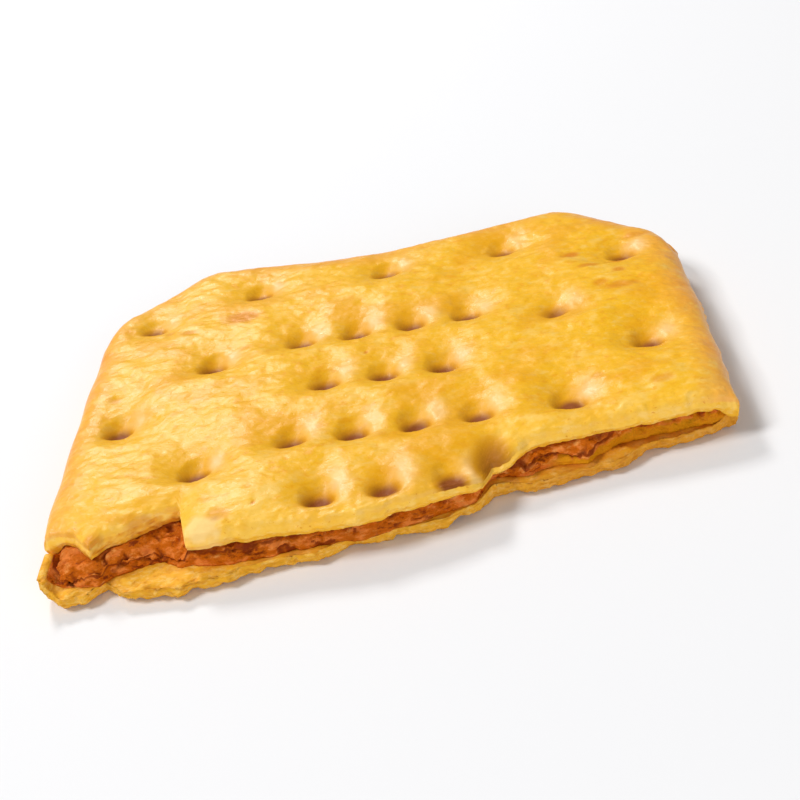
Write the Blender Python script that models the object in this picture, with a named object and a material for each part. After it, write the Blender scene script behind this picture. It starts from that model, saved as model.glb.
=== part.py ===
"""A snapped piece of a filled, cut-cornered cracker.

Two sheets of golden dough lie one on the other with a thin bacon layer between them. The back and the two
sides are the baked rim, where the sheets are pinched shut. The front is the ragged break, and all three
layers show there. X runs along the break, Y points away from it and Z is up. The origin is on the resting
face, under the middle of the piece.
"""

import math

import bmesh
import bpy
from mathutils import Vector, noise
from mathutils.geometry import delaunay_2d_cdt

MM = 0.001

# Plan of the piece: a rectangle with its two back corners cut off
HALF_WIDTH = 24.5 * MM
SIDE_BULGE = 0.5 * MM
SIDE_MIDDLE_Y = 0.0 * MM
SIDE_REACH = 22.0 * MM
BACK_Y = 20.1 * MM
BACK_DIP = 1.5 * MM
CORNER_CUT = 7.6 * MM
CORNER_ROUND = 1.6 * MM
EDGE_WAVE = 0.22 * MM
EDGE_WAVE_LENGTH = 4.5 * MM
SIDE_SEED = 3.3
BACK_SEED = 8.1

# Heights of the layers, from the resting face up
PLATEAU_Z = 4.25 * MM
UPPER_UNDERSIDE_Z = 2.7 * MM
LOWER_TOP_Z = 1.2 * MM
SEAM_Z = 1.75 * MM
RIM_TOP_Z = 2.95 * MM
RIM_UNDERSIDE_Z = 0.45 * MM
LAYER_GAP = 0.3 * MM
LEAST_DOUGH = 0.35 * MM

# How the layers close towards the baked rim
RIM_WIDTH = 2.6 * MM
UNDERSIDE_RIM_WIDTH = 1.6 * MM
PINCH_START = 0.3 * MM
PINCH_END = 1.8 * MM
FILLING_INSET = 1.0 * MM

# Puffed surface
SWELL_HEIGHT = 0.42 * MM
SWELL_LENGTH = 9.0 * MM
SWELL_SEED = 2.4
RIPPLE_HEIGHT = 0.12 * MM
RIPPLE_LENGTH = 3.8 * MM
RIPPLE_SEED = 6.2
CORNER_LIFT = 0.35 * MM
CORNER_LIFT_REACH = 7.0 * MM

# Docking holes: loose ones near the rim, and a plain staggered grid in the middle. Each is steep in front
# and drawn out behind.
HOLE_RADIUS = 1.6 * MM
HOLE_DEPTH = 0.78 * MM
HOLE_FRONT = 0.62
HOLE_BACK = 1.5
HOLE_BLEND = 0.25 * MM
SAUCER_DEPTH = 0.55 * MM
SAUCER_RADIUS = 2.3 * MM
SAUCER_JOINING = 2.5
DENT_DEPTH = 0.4 * MM
DENT_RADIUS = 1.1 * MM
BORDER_HOLES = (
    (-20.4, 10.2, 0.70),
    (-11.2, 13.6, 0.95),
    (0.3, 13.5, 0.85),
    (10.6, 14.2, 0.70),
    (20.3, 9.4, 0.85),
    (-14.2, 2.6, 1.00),
    (13.9, 2.4, 0.60),
    (20.2, -3.6, 0.85),
    (-21.0, -4.4, 0.95),
    (-13.9, -11.5, 1.10),
    (13.5, -9.6, 1.05),
)
GRID_ROWS = 4
GRID_FIRST_Y = 4.4 * MM
GRID_ROW_STEP = 6.9 * MM
GRID_COLUMN_STEP = 4.6 * MM
GRID_LONG_ROW = 4
GRID_DEPTH = 0.9
GRID_DEPTH_SPREAD = 0.15
GRID_DEPTH_LENGTH = 2.7 * MM
GRID_SEED = 1.9

# Broken front edge of each layer, as (x, y) in millimetres from left to right
UPPER_BREAK = (
    (-25.1, -15.4), (-23.3, -15.6), (-22.1, -16.3), (-20.7, -17.9), (-19.9, -16.9), (-18.6, -16.5),
    (-16.5, -15.5), (-14.7, -14.9), (-13.9, -18.5), (-8.8, -18.3), (-2.0, -18.6), (3.5, -17.2),
    (6.6, -16.5), (7.3, -14.6), (8.6, -14.4), (10.0, -13.2), (15.0, -12.6), (20.0, -12.3), (25.1, -11.6),
)
FILLING_BREAK = (
    (-25.1, -18.1), (-22.2, -18.8), (-20.4, -19.0), (-19.4, -18.1), (-16.5, -17.4), (-14.6, -18.3),
    (-12.0, -18.7), (-6.0, -18.3), (-1.8, -18.2), (3.0, -17.0), (6.0, -16.1), (7.2, -14.3),
    (8.3, -14.4), (12.0, -13.5), (14.0, -13.9), (16.2, -12.2), (20.0, -11.8), (25.1, -11.2),
)
LOWER_BREAK = (
    (-25.1, -18.2), (-23.1, -19.8), (-21.5, -19.8), (-20.3, -18.4), (-18.6, -19.9), (-14.5, -20.2),
    (-11.5, -19.6), (-8.5, -18.7), (-5.2, -18.8), (-2.8, -17.8), (3.5, -17.3), (6.0, -16.2),
    (7.2, -14.9), (8.2, -14.9), (11.0, -14.8), (16.4, -13.8), (18.0, -12.6), (21.0, -12.2),
    (25.1, -11.0),
)
BREAK_ROUGHNESS = 0.16 * MM
BREAK_ROUGHNESS_LENGTH = 1.3 * MM
BREAK_SEED = 5.7
UPPER_LIP_SETBACK = 0.25 * MM
LOWER_LIP_SETBACK = 0.4 * MM

# The upper sheet rolls down towards its break, lowest at the right
LIP_Z = 3.55 * MM
LIP_REACH = 2.2 * MM
LIP_DROP = 0.2 * MM
LIP_DROP_START = 6.0 * MM
LIP_DROP_END = 12.0 * MM
FOLD_BLEND = 0.4
LEAST_BLEND = 0.02 * MM
FAR = 99.0 * MM

# The break runs through one docking hole, where the upper sheet dips to its edge
SCOOP_PLACE = (7.5 * MM, -14.8 * MM)
SCOOP_RADIUS = 1.9 * MM
SCOOP_BACK = 1.7
SCOOP_DEPTH = 0.9 * MM

# The left rim of the lower sheet stands up where the upper sheet has broken away from it
CURL_HEIGHT = 0.65 * MM
CURL_START = 0.3 * MM
CURL_END = 1.0 * MM
CURL_FRONT_Y = -16.4 * MM
CURL_BACK_Y = -15.8 * MM

# Spacing of the mesh points
RIM_STEP = 1.2 * MM
BREAK_STEP = 0.8 * MM
SKIN_STEP = 2.4 * MM
INNER_STEP = 3.4 * MM
EDGE_CLEARANCE = 0.18 * MM
LATTICE_CLEARANCE = 0.62
SKIN_LOOPS = (0.3 * MM, 1.0 * MM, 2.1 * MM)
SEAM_LOOPS = (1.1 * MM, 2.0 * MM, 3.0 * MM)
UNDERSIDE_LOOPS = (0.4 * MM, 1.6 * MM)
FILLING_LOOPS = (0.7 * MM,)
HOLE_RINGS = tuple(share * HOLE_RADIUS for share in (0.3, 0.65, 1.0, 1.5))
DENT_RINGS = tuple(share * DENT_RADIUS for share in (0.45, 1.0, 1.6))

COLOURS = {
    "upper_sheet": (0.90, 0.55, 0.10),
    "filling": (0.52, 0.15, 0.04),
    "lower_sheet": (0.80, 0.46, 0.09),
}
ROUGHNESS = {"upper_sheet": 0.55, "filling": 0.7, "lower_sheet": 0.65}


def clamp(value, low=0.0, high=1.0):
    return max(low, min(high, value))


def smooth_step(low, high, value):
    share = clamp((value - low) / (high - low))
    return share * share * (3 - 2 * share)


def soft_min(a, b, blend):
    """The smaller of two lengths, with the crease between them rounded over the length blend."""
    share = clamp(0.5 + 0.5 * (b - a) / blend)
    return b + (a - b) * share - blend * share * (1 - share)


def wave(x, y, length, seed):
    """Smooth noise from -1 to 1 whose bumps are about one length across."""
    return noise.noise(Vector((x / length, y / length, seed)))


def side_x(y):
    """Half width at y: the sides bulge a little in the middle."""
    bulge = SIDE_BULGE * (1 - ((y - SIDE_MIDDLE_Y) / SIDE_REACH) ** 2)
    return HALF_WIDTH + bulge + EDGE_WAVE * wave(0.0, y, EDGE_WAVE_LENGTH, SIDE_SEED)


def back_y(x):
    """The rim behind: a hollow back edge, a cut on each side of it, and a round corner beside each cut."""
    across = min(abs(x), HALF_WIDTH)
    straight = HALF_WIDTH - CORNER_CUT
    dip = BACK_DIP * (1 - (across / straight) ** 2) ** 2 if across < straight else 0.0
    cut = BACK_Y + straight - across
    edge = soft_min(BACK_Y - dip, cut, CORNER_ROUND)
    turn = clamp((across - (HALF_WIDTH - CORNER_ROUND)) / CORNER_ROUND)
    edge -= CORNER_ROUND * (1 - math.sqrt(1 - turn * turn))
    return edge + EDGE_WAVE * wave(x, 0.0, EDGE_WAVE_LENGTH, BACK_SEED)


def break_y(line, x):
    """The y of a broken edge at x, read along its corner points, with a fine raggedness added."""
    points = [(px * MM, py * MM) for px, py in line]
    for (x0, y0), (x1, y1) in zip(points, points[1:]):
        if x <= x1:
            break
    share = clamp((x - x0) / (x1 - x0))
    rough = BREAK_ROUGHNESS * wave(x, points[0][1], BREAK_ROUGHNESS_LENGTH, BREAK_SEED)
    return y0 + (y1 - y0) * share + rough


def break_distance(line, x, y):
    """How far a point lies from a broken edge, rounded off where two stretches of it are equally near."""
    points = [(px * MM, py * MM) for px, py in line]
    nearest = FAR
    for (x0, y0), (x1, y1) in zip(points, points[1:]):
        run, rise = x1 - x0, y1 - y0
        share = clamp(((x - x0) * run + (y - y0) * rise) / (run * run + rise * rise))
        away = math.hypot(x - x0 - share * run, y - y0 - share * rise)
        nearest = soft_min(nearest, away, LEAST_BLEND + FOLD_BLEND * (nearest + away))
    return nearest


def rim_distance(x, y):
    """How far a point lies inside the baked rim."""
    corner = HALF_WIDTH - CORNER_CUT
    slanted = smooth_step(corner - CORNER_ROUND, corner + CORNER_ROUND, abs(x))
    from_back = (back_y(x) - y) / (1 + (math.sqrt(2) - 1) * slanted)
    from_side = side_x(y) - abs(x)
    return max(0.0, soft_min(from_back, from_side, CORNER_ROUND))


def docking_holes():
    """Every hole as (x, y, share of the full depth)."""
    holes = [(x * MM, y * MM, depth) for x, y, depth in BORDER_HOLES]
    for row in range(GRID_ROWS):
        count = GRID_LONG_ROW - row % 2
        for column in range(count):
            x = (column - (count - 1) / 2) * GRID_COLUMN_STEP
            y = GRID_FIRST_Y - row * GRID_ROW_STEP
            depth = GRID_DEPTH + GRID_DEPTH_SPREAD * wave(x, y, GRID_DEPTH_LENGTH, GRID_SEED)
            holes.append((x, y, depth))
    return holes


HOLES = docking_holes()


def hole_distance(x, y, hole_x, hole_y):
    """How far a point is from a hole's middle, with the hole's long slope behind counted as shorter."""
    ahead = y - hole_y
    return math.hypot(x - hole_x, ahead / (HOLE_BACK if ahead > 0 else HOLE_FRONT))


def hollow(x, y, radius, depth):
    """How deep the docking holes reach at a point: a round-bottomed scoop in each hole's middle."""
    found = 0.0
    for hole_x, hole_y, share in HOLES:
        away = hole_distance(x, y, hole_x, hole_y) / radius
        found = max(found, share * depth * (1 - clamp(away) ** 2) ** 2)
    return found


def saucer(x, y):
    """The wide shallow sinking of the skin round each hole, smoothly joined between neighbours."""
    sunk = 0.0
    for hole_x, hole_y, share in HOLES:
        away = hole_distance(x, y, hole_x, hole_y) / SAUCER_RADIUS
        sunk += (share * math.exp(-away * away)) ** SAUCER_JOINING
    return SAUCER_DEPTH * sunk ** (1 / SAUCER_JOINING)


def scoop(x, y):
    """How deep the upper sheet dips round the hole that the break runs through."""
    ahead = y - SCOOP_PLACE[1]
    away = math.hypot(x - SCOOP_PLACE[0], ahead / SCOOP_BACK if ahead > 0 else ahead) / SCOOP_RADIUS
    return SCOOP_DEPTH * math.exp(-away * away)


def skin_z(x, y):
    """Top of the upper sheet: puffed, pricked, and rounded down to the break and the rim.

    Some dough stays below each hole.
    """
    puffed = PLATEAU_Z - saucer(x, y) - hollow(x, y, HOLE_RADIUS, HOLE_DEPTH)
    puffed += SWELL_HEIGHT * wave(x, y, SWELL_LENGTH, SWELL_SEED)
    puffed += RIPPLE_HEIGHT * wave(x, y, RIPPLE_LENGTH, RIPPLE_SEED)
    corner = math.hypot(abs(x) - HALF_WIDTH, y - BACK_Y + CORNER_CUT)
    puffed += CORNER_LIFT * (1 - smooth_step(0.0, CORNER_LIFT_REACH, corner))
    rolled = (1 - clamp(break_distance(UPPER_BREAK, x, y) / LIP_REACH)) ** 2
    lip = LIP_Z - LIP_DROP * smooth_step(LIP_DROP_START, LIP_DROP_END, x)
    puffed += (lip - puffed) * rolled - scoop(x, y)
    inside = clamp(rim_distance(x, y) / RIM_WIDTH)
    rounded = RIM_TOP_Z + (puffed - RIM_TOP_Z) * math.sqrt(1 - (1 - inside) ** 2)
    return -soft_min(-rounded, -upper_underside_z(x, y) - LEAST_DOUGH, HOLE_BLEND)


def pinch(x, y):
    """0 at the rim, where the sheets meet, to 1 where the layers have their full spacing."""
    return smooth_step(PINCH_START, PINCH_END, rim_distance(x, y))


def upper_underside_z(x, y):
    seam = SEAM_Z + LAYER_GAP / 2
    return seam + (UPPER_UNDERSIDE_Z - seam) * pinch(x, y)


def rim_curl(x, y):
    """How far the lower sheet's left rim stands up in front of the upper sheet."""
    beside_rim = 1 - smooth_step(CURL_START, CURL_END, side_x(y) + x)
    in_front = 1 - smooth_step(CURL_FRONT_Y, CURL_BACK_Y, y)
    return CURL_HEIGHT * beside_rim * in_front


def lower_top_z(x, y):
    seam = SEAM_Z - LAYER_GAP / 2
    return seam + (LOWER_TOP_Z - seam) * pinch(x, y) + rim_curl(x, y)


def filling_top_z(x, y):
    return upper_underside_z(x, y) - LAYER_GAP


def filling_underside_z(x, y):
    return lower_top_z(x, y) + LAYER_GAP


def resting_z(x, y):
    """Underside of the lower sheet: flat, with a shallow dent under each hole, and turned up at the rim."""
    inside = clamp(rim_distance(x, y) / UNDERSIDE_RIM_WIDTH)
    turned_up = RIM_UNDERSIDE_Z * (1 - math.sqrt(1 - (1 - inside) ** 2))
    return max(turned_up, hollow(x, y, DENT_RADIUS, DENT_DEPTH))


def spread(low, high, step):
    """Evenly spaced values from low to high, both included, about one step apart."""
    count = max(1, round(abs(high - low) / step))
    return [low + (high - low) * i / count for i in range(count + 1)]


def broken_edge(line, inset, setback):
    """Points along a layer's broken front, from left to right."""
    reach = HALF_WIDTH - inset
    front = [(x, break_y(line, x)) for x in spread(-reach, reach, BREAK_STEP)]
    left_y, right_y = front[0][1], front[-1][1]
    ends = (inset - side_x(left_y), left_y), (side_x(right_y) - inset, right_y)
    return [(x, y + setback) for x, y in [ends[0]] + front[1:-1] + [ends[1]]]


def baked_rim(line, inset, _):
    """Points up a layer's right side, along its back and down its left side."""
    reach = HALF_WIDTH - inset
    corner_y = back_y(HALF_WIDTH)
    right = [(side_x(y) - inset, y) for y in spread(break_y(line, reach), corner_y, RIM_STEP)]
    left = [(inset - side_x(y), y) for y in spread(corner_y, break_y(line, -reach), RIM_STEP)]
    back = []
    for share in spread(1.0, -1.0, RIM_STEP / HALF_WIDTH):
        # A sine closes the points up beside the corners, where the rim turns fastest
        x = HALF_WIDTH * math.sin(share * math.pi / 2)
        slope = (back_y(x + RIM_STEP / 4) - back_y(x - RIM_STEP / 4)) / (RIM_STEP / 2)
        length = math.sqrt(1 + slope * slope)
        back.append((x + inset * slope / length, back_y(x) - inset / length))
    return right[1:-1] + back[1:-1] + left[1:-1]


def outline(plan):
    """Closed plan of a layer, anticlockwise from the left end of its broken edge."""
    return broken_edge(*plan) + baked_rim(*plan)


def rings(radii):
    """A point in the middle of each hole, and a ring of points at each radius round it."""
    points = []
    for x, y, _ in HOLES if radii else ():
        points.append((x, y))
        for order, radius in enumerate(radii):
            count = 6 + 2 * order
            for i in range(count):
                turn = 2 * math.pi * (i + 0.5 * (order % 2)) / count
                ahead = radius * math.sin(turn)
                ahead *= HOLE_BACK if ahead > 0 else HOLE_FRONT
                points.append((x + radius * math.cos(turn), y + ahead))
    return points


def lattice(step, keep_clear):
    """Staggered points over the whole piece, except those too near a point in keep_clear."""
    points = []
    rows = spread(-BACK_Y, BACK_Y, step * math.sqrt(3) / 2)
    for row, y in enumerate(rows):
        for x in spread(-HALF_WIDTH, HALF_WIDTH, step):
            shifted = x + step / 2 * (row % 2)
            nearest = min(math.hypot(shifted - px, y - py) for px, py in keep_clear)
            if nearest > LATTICE_CLEARANCE * step:
                points.append((shifted, y))
    return points


def is_within(point, plan):
    """Whether a point lies inside a layer's plan, clear of its edge."""
    line, inset, setback = plan
    x, y = point
    behind_break = y - break_y(line, x) - setback
    return min(rim_distance(x, y) - inset, behind_break) > EDGE_CLEARANCE


def inner_points(plan, step, insets, radii=()):
    """Points inside a layer's plan, and the pairs of them that the rim's edges join."""
    line, inset, setback = plan
    points = rings(radii)
    for extra in insets:
        points += broken_edge(line, inset + extra, setback + extra)
    points = [point for point in points if is_within(point, plan)]
    pairs = []
    for extra in insets:
        joined = False
        for point in baked_rim(line, inset + extra, setback):
            kept = is_within(point, plan)
            if kept:
                points.append(point)
            if kept and joined:
                pairs.append((len(points) - 2, len(points) - 1))
            joined = kept
    points += [point for point in lattice(step, points + outline(plan)) if is_within(point, plan)]
    return points, pairs


def add_face(mesh, plan, inside, height):
    """Triangulates one face of a layer into mesh. Returns its triangles and the vertices of its loop."""
    points, pairs = inside
    loop = outline(plan)
    count = len(loop)
    places = [Vector(p) for p in loop + points]
    joins = [(i, (i + 1) % count) for i in range(count)]
    joins += [(count + first, count + second) for first, second in pairs]
    made = delaunay_2d_cdt(places, joins, [list(range(count))], 1, 1e-7)
    vertices = [mesh.verts.new((p.x, p.y, height(p.x, p.y))) for p in made[0]]
    triangles = [mesh.faces.new([vertices[i] for i in face]) for face in made[2]]
    place = {source: i for i, sources in enumerate(made[3]) for source in sources}
    return triangles, [vertices[place[i]] for i in range(count)]


def layer(name, upper_face, lower_face):
    """One closed solid from its two faces, each given as (plan, inner points, height function)."""
    mesh = bmesh.new()
    top_loop = add_face(mesh, *upper_face)[1]
    underside, bottom_loop = add_face(mesh, *lower_face)
    bmesh.ops.reverse_faces(mesh, faces=underside)
    count = len(top_loop)
    for i in range(count):
        j = (i + 1) % count
        mesh.faces.new((bottom_loop[i], bottom_loop[j], top_loop[j], top_loop[i]))
    bmesh.ops.recalc_face_normals(mesh, faces=mesh.faces)
    data = bpy.data.meshes.new(name)
    mesh.to_mesh(data)
    mesh.free()
    data.shade_smooth()
    data.set_sharp_from_angle(angle=math.radians(50))
    data.materials.append(material(name))
    made = bpy.data.objects.new(name, data)
    bpy.context.scene.collection.objects.link(made)
    return made


def material(name):
    made = bpy.data.materials.new(name)
    made.use_nodes = True
    surface = made.node_tree.nodes["Principled BSDF"]
    surface.inputs["Base Color"].default_value = (*COLOURS[name], 1.0)
    surface.inputs["Roughness"].default_value = ROUGHNESS[name]
    surface.inputs["Metallic"].default_value = 0.0
    return made


def upper_sheet():
    top_plan = (UPPER_BREAK, 0.0, UPPER_LIP_SETBACK)
    plan = (UPPER_BREAK, 0.0, 0.0)
    skin = inner_points(top_plan, SKIN_STEP, SKIN_LOOPS, HOLE_RINGS)
    under = inner_points(plan, INNER_STEP, SEAM_LOOPS)
    return layer("upper_sheet", (top_plan, skin, skin_z), (plan, under, upper_underside_z))


def filling():
    plan = (FILLING_BREAK, FILLING_INSET, 0.0)
    inner = inner_points(plan, INNER_STEP, FILLING_LOOPS)
    return layer("filling", (plan, inner, filling_top_z), (plan, inner, filling_underside_z))


def lower_sheet():
    plan = (LOWER_BREAK, 0.0, 0.0)
    low_plan = (LOWER_BREAK, 0.0, LOWER_LIP_SETBACK)
    inner = inner_points(plan, INNER_STEP, SEAM_LOOPS)
    under = inner_points(low_plan, INNER_STEP, UNDERSIDE_LOOPS, DENT_RINGS)
    return layer("lower_sheet", (plan, inner, lower_top_z), (low_plan, under, resting_z))


def centre_on_origin(parts):
    """Moves the parts so that the origin is under the middle of their common box."""
    corners = [v.co for part in parts for v in part.data.vertices]
    middle_x = (min(c.x for c in corners) + max(c.x for c in corners)) / 2
    middle_y = (min(c.y for c in corners) + max(c.y for c in corners)) / 2
    for part in parts:
        part.location = (-middle_x, -middle_y, 0.0)


def main():
    for old in list(bpy.data.objects):
        bpy.data.objects.remove(old)
    centre_on_origin([upper_sheet(), filling(), lower_sheet()])


main()
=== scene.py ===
"""Looks of the filled cracker piece: two puffed dough sheets, a crumbly filling, a floor and soft light.

The dense sheets follow the same plan and heights as the solids, in millimetres until a mesh is made.
"""

import math

import bpy
import numpy as np
from mathutils import Matrix, Vector, noise
from mathutils.geometry import delaunay_2d_cdt


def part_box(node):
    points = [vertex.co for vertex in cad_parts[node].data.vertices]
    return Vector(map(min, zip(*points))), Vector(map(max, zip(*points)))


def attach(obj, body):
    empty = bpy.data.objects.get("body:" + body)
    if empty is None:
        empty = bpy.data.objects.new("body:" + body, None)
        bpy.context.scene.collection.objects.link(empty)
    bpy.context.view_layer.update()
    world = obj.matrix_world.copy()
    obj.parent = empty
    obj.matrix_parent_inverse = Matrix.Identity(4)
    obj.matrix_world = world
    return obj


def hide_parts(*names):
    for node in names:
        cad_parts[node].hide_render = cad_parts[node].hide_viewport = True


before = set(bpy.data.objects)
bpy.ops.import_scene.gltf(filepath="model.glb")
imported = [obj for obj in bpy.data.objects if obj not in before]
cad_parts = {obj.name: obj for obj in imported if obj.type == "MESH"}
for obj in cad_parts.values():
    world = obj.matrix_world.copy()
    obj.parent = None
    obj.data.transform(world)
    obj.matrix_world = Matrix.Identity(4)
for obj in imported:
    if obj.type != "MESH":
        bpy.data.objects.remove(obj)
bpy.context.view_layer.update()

MM = 0.001

# Plan of the piece
HALF_WIDTH = 24.5
SIDE_BULGE = 0.5
SIDE_REACH = 22.0
BACK_Y = 20.1
BACK_DIP = 1.5
CORNER_CUT = 7.6
CORNER_ROUND = 1.6
EDGE_WAVE = 0.22
EDGE_WAVE_LENGTH = 4.5

# Heights of the layers
PLATEAU_Z = 4.25
UPPER_UNDERSIDE_Z = 2.7
LOWER_TOP_Z = 1.2
SEAM_Z = 1.75
RIM_TOP_Z = 2.95
RIM_UNDERSIDE_Z = 0.45
CONTACT_GAP = 0.02
LEAST_DOUGH = 0.35

# How the layers close towards the baked rim
RIM_WIDTH = 2.6
UNDERSIDE_RIM_WIDTH = 1.6
PINCH_START = 0.3
PINCH_END = 1.8
FILLING_INSET = 0.6

# Puffed surface
SWELL_HEIGHT = 0.42
SWELL_LENGTH = 9.0
RIPPLE_HEIGHT = 0.12
RIPPLE_LENGTH = 3.8
CORNER_LIFT = 0.35
CORNER_LIFT_REACH = 7.0

# Docking holes, as (x, y, share of the full depth)
HOLE_RADIUS = 1.6
HOLE_DEPTH = 0.66
HOLE_FRONT = 0.62
HOLE_BACK = 1.5
HOLE_BLEND = 0.25
HOLE_FLATNESS = 2.25
SAUCER_DEPTH = 0.72
SAUCER_RADIUS = 2.45
SAUCER_JOINING = 2.5
# Browned dough and painted shade in the front of each hole: its size, how it is drawn out and shifted
SHADE_RADIUS = 1.7
SHADE_FRONT = 0.5
SHADE_BACK = 1.15
SHADE_SHIFT = 0.36
# Painted highlight on the slope behind each hole: its shift from the hole and its radii
SHEEN_SHIFT = (1.5, 1.0)
SHEEN_RADII = (0.75, 1.2)
DENT_DEPTH = 0.4
DENT_RADIUS = 1.1
BORDER_HOLES = (
    (-20.4, 10.2, 0.70),
    (-11.2, 13.6, 0.95),
    (0.3, 13.5, 0.85),
    (10.6, 14.2, 0.70),
    (20.3, 9.4, 0.85),
    (-14.2, 2.6, 1.00),
    (13.9, 2.4, 0.60),
    (20.2, -3.6, 0.85),
    (-21.0, -4.4, 0.95),
    (-13.9, -11.5, 1.10),
    (13.5, -9.6, 1.05),
)
GRID_ROWS = 4
GRID_FIRST_Y = 4.4
GRID_ROW_STEP = 6.9
GRID_COLUMN_STEP = 4.6
GRID_LONG_ROW = 4

# Broken front edge of each layer, from left to right
UPPER_BREAK = (
    (-25.1, -15.4), (-23.3, -15.6), (-22.1, -16.3), (-20.7, -17.9), (-19.9, -16.9), (-18.6, -16.5),
    (-16.5, -15.5), (-14.7, -14.9), (-13.9, -18.5), (-8.8, -18.3), (-2.0, -18.6), (3.5, -17.2),
    (6.6, -16.5), (7.3, -14.6), (8.6, -14.4), (10.0, -13.2), (15.0, -12.6), (20.0, -12.3), (25.1, -11.6),
)
FILLING_BREAK = (
    (-25.1, -18.1), (-22.2, -18.8), (-20.4, -19.0), (-19.4, -18.1), (-16.5, -17.4), (-14.6, -18.3),
    (-12.0, -18.7), (-6.0, -18.3), (-1.8, -18.2), (3.0, -17.0), (6.0, -16.1), (7.2, -14.3),
    (8.3, -14.4), (12.0, -13.5), (14.0, -13.9), (16.2, -12.2), (20.0, -11.8), (25.1, -11.2),
)
LOWER_BREAK = (
    (-25.1, -18.2), (-23.1, -19.8), (-21.5, -19.8), (-20.3, -18.4), (-18.6, -19.9), (-14.5, -20.2),
    (-11.5, -19.6), (-8.5, -18.7), (-5.2, -18.8), (-2.8, -17.8), (3.5, -17.3), (6.0, -16.2),
    (7.2, -14.9), (8.2, -14.9), (11.0, -14.8), (16.4, -13.8), (18.0, -12.6), (21.0, -12.2),
    (25.1, -11.0),
)
BREAK_ROUGHNESS = 0.16
BREAK_ROUGHNESS_LENGTH = 1.3
BREAK_JAGS = 0.09
BREAK_JAGS_LENGTH = 0.9
LOWER_JAGS = 0.15
UPPER_LIP_SETBACK = 0.25
LOWER_LIP_SETBACK = 0.4
FILLING_SETBACK = 0.3
LIP_ROUND = 0.25
STRAIGHTENING = 4.0
STRAIGHTENING_WINDOW = 3.0

# The upper sheet rolls down towards its break, lowest at the right
LIP_Z = 3.55
LIP_REACH = 2.2
LIP_DROP = 0.2
LIP_DROP_START = 6.0
LIP_DROP_END = 12.0
FOLD_BLEND = 0.4
LEAST_BLEND = 0.02
FAR = 99.0

# The break runs through one docking hole, where the layers are gathered and the upper sheet dips
SCOOP_PLACE = (7.5, -14.8)
SCOOP_RADIUS = 1.9
SCOOP_BACK = 1.7
SCOOP_DEPTH = 0.9
GATHERING = 0.65
GATHER_RADIUS = 1.5
SCOOP_SHADE = 0.55

# The left rim of the lower sheet stands up where the upper sheet has broken away from it
CURL_HEIGHT = 0.65
CURL_START = 0.3
CURL_END = 1.0
CURL_FRONT_Y = -16.1
CURL_BACK_Y = -15.3

# Browned spots on the skin, as (x, y, radius along x, radius along y, strength)
TOASTED_SPOTS = (
    (-12.4, 9.5, 2.0, 1.1, 0.85),
    (-16.9, 8.3, 0.9, 0.5, 0.6),
    (-18.6, 9.0, 0.5, 0.3, 0.5),
    (16.2, 10.5, 0.9, 0.6, 1.0),
    (17.4, 8.0, 1.0, 0.35, 0.8),
    (19.6, 8.3, 0.9, 0.35, 0.9),
    (19.6, 6.3, 0.6, 0.4, 0.8),
    (17.9, 4.8, 0.8, 0.5, 0.6),
    (19.4, 4.0, 1.7, 0.6, 0.7),
    (20.1, -9.4, 1.0, 0.5, 0.5),
    (15.9, -7.4, 0.6, 0.4, 0.4),
    (-11.6, 4.7, 0.6, 0.35, 0.4),
    (-21.9, -0.4, 0.6, 0.4, 0.5),
    (-11.4, -16.9, 1.0, 0.6, 0.55),
    (21.8, 12.0, 1.3, 0.5, 0.5),
    (-1.4, 0.8, 0.2, 0.2, 1.0),
    (-9.0, -16.4, 0.2, 0.2, 1.0),
    (-20.5, -17.3, 0.9, 0.8, 0.75),
    (-17.2, -15.7, 2.4, 0.5, 0.45),
    (-22.6, -16.0, 1.2, 0.4, 0.4),
)
TOASTED_SINK = 0.06
# Where the skin has flaked off the lip beside the bite: centre, radii and depth
FLAKED_SPOT = (-12.6, -17.7)
FLAKED_RADII = (1.8, 1.2)
FLAKED_DEPTH = 0.1
# Painted highlight along the ridges where the skin folds down to the break
SHEEN_FOLDS = (
    ((-19.4, -17.3), (-18.0, -13.9)),
    ((8.0, -14.3), (8.9, -11.6)),
)
FOLD_WIDTH = 0.55

# Each field of noise has its own number, so that no two are alike
SIDE_SEED = 3.3
BACK_SEED = 8.1
BREAK_SEED = 5.7
HOLE_SEED = 1.9
SHEEN_SEED = 23.5
SWELL_SEED = 2.4
RIPPLE_SEED = 6.2
DIMPLE_SEED = 11.7
SPOT_SEED = 31.1
BAKING_SEED = 91.7
TEAR_SEED = 17.9
LUMPY_SEED = 71.3
OVERHANG_SEED = 61.7
UNDERSIDE_SEED = 41.3
STAIN_SEED = 81.1
PIT_SEED = 7

# Columns from left to right and rows from the break to the back, of each layer's dense face
UPPER_GRID = (350, 235)
FILLING_GRID = (420, 80)
LOWER_GRID = (350, 110)
# Loops of each layer's wall, and the steps between the points across its hidden face
TALL_WALL_LOOPS = 11
LOWER_WALL_LOOPS = 8
SHEET_STEP = 3.0
FILLING_STEP = 3.5
# How far in from its lip each row of the lower sheet's upper face lies
TUCKED_ROWS = (0.1, 0.22, 0.36, 0.52, 0.7, 0.9, 1.15, 1.4, 1.7, 2.0, 2.4, 2.9, 3.5)

# Relief of the baked skin
DIMPLE_HEIGHT = 0.11
STREAK_HEIGHT = 0.07
SKIN_STRETCH = 0.75
PIT_COUNT = 70
PIT_STRETCH = 1.5
LIP_RELIEF = 0.09
UPPER_RIM_SWELL = 0.16
LOWER_RIM_SWELL = 0.14
SWELL_UNEVENNESS = 1.2
UNDERSIDE_RELIEF = 0.05

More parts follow.
